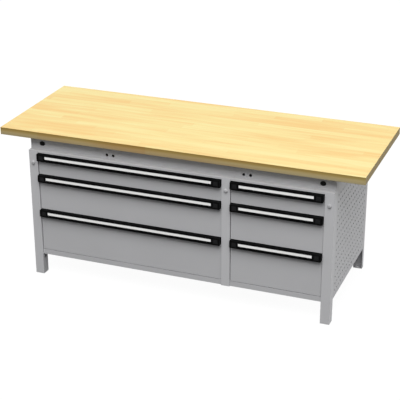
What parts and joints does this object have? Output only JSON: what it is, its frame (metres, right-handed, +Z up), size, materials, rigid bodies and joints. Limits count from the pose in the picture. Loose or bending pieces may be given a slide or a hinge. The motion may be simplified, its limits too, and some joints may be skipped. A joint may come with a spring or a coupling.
{
  "type": "workbench",
  "caption": "Steel workbench with a thick wooden top, a wide and a narrow column of drawers on telescopic runners, full-width handles, locks and perforated sides.",
  "frame": {"origin": "on the floor, under the middle of the bounding box: halfway along the worktop, and halfway between its front and rear edges", "axes": "+Z up; the drawers open towards -Y; +X along the top, to the right of someone who faces the drawers, where the narrow column is"},
  "size_m": [2, 0.75, 0.85],
  "materials": {
    "worktop_wood": "beech staves glued side by side, sanded and oiled, satin",
    "frame_paint": "light grey powder coat, fine texture, satin",
    "front_paint": "light grey powder coat, fine texture, satin",
    "panel_paint": "light grey powder coat, fine texture, satin",
    "box_paint": "light grey powder coat, satin",
    "runner_zinc": "zinc-plated cold-rolled steel",
    "handle_black": "black extruded plastic, satin",
    "cap_black": "black moulded plastic, fine grain",
    "label_white": "plain white label strip, matte",
    "lock_black": "black coated die casting",
    "bar_zinc": "zinc-plated strip",
    "screw_zinc": "zinc-plated"
  },
  "bodies": {
    "frame": {"worktop": "worktop_wood", "head_rail_front": "frame_paint", "head_rail_rear": "frame_paint", "head_rail_sides": "frame_paint", "leg_front_left": "frame_paint", "leg_front_right": "frame_paint", "leg_rear_left": "frame_paint", "leg_rear_right": "frame_paint", "centre_post": "frame_paint", "centre_partition": "panel_paint", "side_panel_left": "panel_paint", "side_panel_right": "panel_paint", "back_panel": "panel_paint", "bottom_panel": "panel_paint", "bottom_sills": "frame_paint", "cabinet_rails_left": "runner_zinc", "cabinet_rails_right": "runner_zinc", "lock_barrels": "lock_black", "frame_screws": "screw_zinc"},
    "left_top_drawer": {"left_top_box": "box_paint", "left_top_front": "front_paint", "left_top_handle": "handle_black", "left_top_caps": "cap_black", "left_top_label": "label_white"},
    "left_top_slide": {"left_top_carriage": "runner_zinc"},
    "left_middle_drawer": {"left_middle_box": "box_paint", "left_middle_front": "front_paint", "left_middle_handle": "handle_black", "left_middle_caps": "cap_black", "left_middle_label": "label_white"},
    "left_middle_slide": {"left_middle_carriage": "runner_zinc"},
    "left_bottom_drawer": {"left_bottom_box": "box_paint", "left_bottom_front": "front_paint", "left_bottom_handle": "handle_black", "left_bottom_caps": "cap_black", "left_bottom_label": "label_white"},
    "left_bottom_slide": {"left_bottom_carriage": "runner_zinc"},
    "right_top_drawer": {"right_top_box": "box_paint", "right_top_front": "front_paint", "right_top_handle": "handle_black", "right_top_caps": "cap_black", "right_top_label": "label_white"},
    "right_top_slide": {"right_top_carriage": "runner_zinc"},
    "right_middle_drawer": {"right_middle_box": "box_paint", "right_middle_front": "front_paint", "right_middle_handle": "handle_black", "right_middle_caps": "cap_black", "right_middle_label": "label_white"},
    "right_middle_slide": {"right_middle_carriage": "runner_zinc"},
    "right_bottom_drawer": {"right_bottom_box": "box_paint", "right_bottom_front": "front_paint", "right_bottom_handle": "handle_black", "right_bottom_caps": "cap_black", "right_bottom_label": "label_white"},
    "right_bottom_slide": {"right_bottom_carriage": "runner_zinc"},
    "lock_plug_left": {"lock_plug_left": "lock_black"},
    "lock_bar_left": {"lock_bar_left": "bar_zinc"},
    "lock_plug_right": {"lock_plug_right": "lock_black"},
    "lock_bar_right": {"lock_bar_right": "bar_zinc"}
  },
  "joints": [
    {"name": "left_top_drawer_slide", "type": "slide", "parent": "frame", "child": "left_top_drawer", "axis": [0, -1, 0], "range_m": [0, 0.6]},
    {"name": "left_top_runner_slide", "type": "slide", "parent": "frame", "child": "left_top_slide", "axis": [0, -1, 0], "range_m": [0, 0.3]},
    {"name": "left_middle_drawer_slide", "type": "slide", "parent": "frame", "child": "left_middle_drawer", "axis": [0, -1, 0], "range_m": [0, 0.6]},
    {"name": "left_middle_runner_slide", "type": "slide", "parent": "frame", "child": "left_middle_slide", "axis": [0, -1, 0], "range_m": [0, 0.3]},
    {"name": "left_bottom_drawer_slide", "type": "slide", "parent": "frame", "child": "left_bottom_drawer", "axis": [0, -1, 0], "range_m": [0, 0.6]},
    {"name": "left_bottom_runner_slide", "type": "slide", "parent": "frame", "child": "left_bottom_slide", "axis": [0, -1, 0], "range_m": [0, 0.3]},
    {"name": "right_top_drawer_slide", "type": "slide", "parent": "frame", "child": "right_top_drawer", "axis": [0, -1, 0], "range_m": [0, 0.6]},
    {"name": "right_top_runner_slide", "type": "slide", "parent": "frame", "child": "right_top_slide", "axis": [0, -1, 0], "range_m": [0, 0.3]},
    {"name": "right_middle_drawer_slide", "type": "slide", "parent": "frame", "child": "right_middle_drawer", "axis": [0, -1, 0], "range_m": [0, 0.6]},
    {"name": "right_middle_runner_slide", "type": "slide", "parent": "frame", "child": "right_middle_slide", "axis": [0, -1, 0], "range_m": [0, 0.3]},
    {"name": "right_bottom_drawer_slide", "type": "slide", "parent": "frame", "child": "right_bottom_drawer", "axis": [0, -1, 0], "range_m": [0, 0.6]},
    {"name": "right_bottom_runner_slide", "type": "slide", "parent": "frame", "child": "right_bottom_slide", "axis": [0, -1, 0], "range_m": [0, 0.3]},
    {"name": "lock_turn_left", "type": "hinge", "parent": "frame", "child": "lock_plug_left", "pos_m": [-0.777, -0.326, 0.7685], "axis": [0, 1, 0], "range_deg": [0, 90]},
    {"name": "lock_lift_left", "type": "slide", "parent": "frame", "child": "lock_bar_left", "axis": [0, 0, 1], "range_m": [0, 0.02263]},
    {"name": "lock_turn_right", "type": "hinge", "parent": "frame", "child": "lock_plug_right", "pos_m": [0.777, -0.326, 0.7685], "axis": [0, -1, 0], "range_deg": [0, 90]},
    {"name": "lock_lift_right", "type": "slide", "parent": "frame", "child": "lock_bar_right", "axis": [0, 0, 1], "range_m": [0, 0.02263]}
  ],
  "couplings": [
    {"joint": "left_top_runner_slide", "follows": "left_top_drawer_slide", "ratio": 0.5},
    {"joint": "left_middle_runner_slide", "follows": "left_middle_drawer_slide", "ratio": 0.5},
    {"joint": "left_bottom_runner_slide", "follows": "left_bottom_drawer_slide", "ratio": 0.5},
    {"joint": "right_top_runner_slide", "follows": "right_top_drawer_slide", "ratio": 0.5},
    {"joint": "right_middle_runner_slide", "follows": "right_middle_drawer_slide", "ratio": 0.5},
    {"joint": "right_bottom_runner_slide", "follows": "right_bottom_drawer_slide", "ratio": 0.5},
    {"joint": "lock_turn_left", "follows": "lock_lift_left", "rad_per_m": 69.4},
    {"joint": "lock_turn_right", "follows": "lock_lift_right", "rad_per_m": 69.4}
  ]
}
